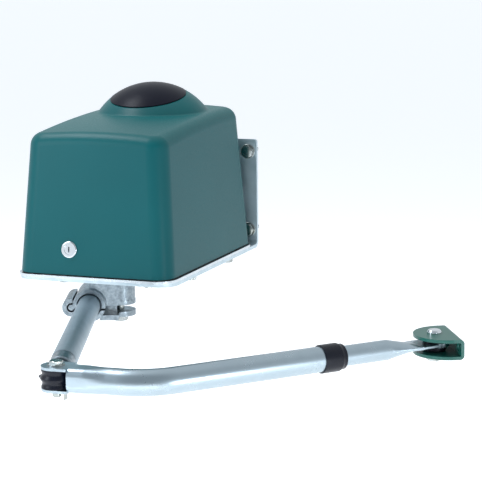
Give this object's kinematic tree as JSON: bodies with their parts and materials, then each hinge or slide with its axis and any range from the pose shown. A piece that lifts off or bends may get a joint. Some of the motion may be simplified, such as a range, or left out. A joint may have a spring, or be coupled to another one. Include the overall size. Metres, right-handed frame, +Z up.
{
  "type": "swing gate opener",
  "caption": "Articulated-arm swing gate opener: covered drive on a post bracket, clamped crank, elbow and telescopic second arm with a gate bracket.",
  "frame": {"origin": "middle of the four post bolts, on the back face of the wall plate", "axes": "+Z up, +Y into the post, +X to the right when the cover's front is seen from outside"},
  "size_m": [0.6195, 0.6879, 0.315],
  "materials": {
    "cover": "satin moulded plastic",
    "dome_cap": "satin black plastic",
    "zinc_sheet": "zinc plated sheet",
    "base_tray": "zinc plated sheet",
    "seal": "soft foam rubber",
    "bolts": "zinc plated steel",
    "chrome": "polished",
    "bright_steel": "zinc plated steel",
    "inner_sheet": "zinc plated sheet",
    "gland": "moulded",
    "gear_casting": "die cast",
    "bearing_steel": "ground",
    "bronze": "machined bronze",
    "inner_plastic": "moulded",
    "release": "moulded",
    "motor_paint": "black enamel",
    "core_steel": "varnished laminations",
    "can_aluminium": "drawn can",
    "board": "solder lacquer",
    "terminals": "moulded",
    "clamp_casting": "cast, satin",
    "tube": "zinc plated",
    "black_plastic": "moulded",
    "gate_bracket": "green enamel"
  },
  "bodies": {
    "drive": {"mounting_bracket": "zinc_sheet", "front_stiffener": "zinc_sheet", "rear_stiffener": "zinc_sheet", "base_tray": "base_tray", "cover_seal": "seal", "shaft_seal": "seal", "post_bolts": "bolts", "post_washers": "bolts", "plate_bolts": "bolts", "gearbox_bolts": "bolts", "lid_screws": "bolts", "release_pin": "bright_steel", "lock_catch": "inner_sheet", "switch_bracket": "inner_sheet", "board_carrier": "inner_sheet", "cable_gland": "gland", "gland_nut": "gland", "gearbox_housing": "gear_casting", "gearbox_lid": "gear_casting", "shaft_bearings": "bearing_steel", "worm_bearings": "bearing_steel", "limit_switches": "inner_plastic", "board_posts": "inner_plastic", "board_parts": "inner_plastic", "motor_can": "motor_paint", "motor_end_cap": "motor_paint", "transformer": "core_steel", "capacitor": "can_aluminium", "control_board": "board", "terminal_block": "terminals"},
    "cover": {"cover": "cover", "dome_cap": "dome_cap", "lock_body": "chrome", "lock_nut": "bright_steel"},
    "lock": {"lock_plug": "chrome", "lock_cam": "bright_steel"},
    "rotor": {"motor_worm": "bearing_steel"},
    "release": {"release_lever": "release"},
    "crank": {"output_shaft": "bearing_steel", "worm_wheel": "bronze", "limit_cams": "inner_plastic", "clamp_body": "clamp_casting", "clamp_strap": "clamp_casting", "clamp_bolt": "bolts", "crank_tube": "tube", "crank_eye": "clamp_casting", "elbow_shell_upper": "black_plastic", "elbow_shell_lower": "black_plastic", "elbow_sleeve": "bearing_steel"},
    "outer_arm": {"outer_tube": "tube", "elbow_bolt": "bolts", "elbow_clip": "bright_steel", "slide_collar": "black_plastic"},
    "inner_arm": {"inner_tube": "tube", "blade_bushes": "black_plastic"},
    "gate_bracket": {"gate_bracket": "gate_bracket", "gate_bolt": "chrome", "gate_nut": "bolts"}
  },
  "joints": [
    {"name": "cover_lift", "type": "slide", "parent": "drive", "child": "cover", "axis": [0, 0, 1], "range_m": [0, 0.25]},
    {"name": "lock_turn", "type": "hinge", "parent": "cover", "child": "lock", "pos_m": [-0.031, -0.32708, -0.0396], "axis": [0, -0.9962, 0.0872], "range_deg": [0, 90]},
    {"name": "crank_turn", "type": "hinge", "parent": "drive", "child": "crank", "pos_m": [0, -0.239, -0.122], "axis": [0, 0, 1], "range_deg": [-70, 60]},
    {"name": "rotor_spin", "type": "hinge", "parent": "drive", "child": "rotor", "pos_m": [0.0575, -0.177, -0.0305], "axis": [0, 1, 0], "range_deg": [-2520, 2520]},
    {"name": "release_turn", "type": "hinge", "parent": "drive", "child": "release", "pos_m": [-0.036, -0.261, 0.0075], "axis": [0, 0, 1], "range_deg": [0, 90]},
    {"name": "elbow_turn", "type": "hinge", "parent": "crank", "child": "outer_arm", "pos_m": [0.10775, -0.64269, -0.122], "axis": [0, 0, 1], "range_deg": [-82, 35]},
    {"name": "arm_slide", "type": "slide", "parent": "outer_arm", "child": "inner_arm", "axis": [0.66, 0.7513, 0], "range_m": [-0.045, 0.06]},
    {"name": "gate_turn", "type": "hinge", "parent": "inner_arm", "child": "gate_bracket", "pos_m": [0.46435, -0.35417, -0.122], "axis": [0, 0, 1], "range_deg": [-45, 85]}
  ],
  "couplings": [
    {"joint": "rotor_spin", "follows": "crank_turn", "ratio": -36}
  ]
}
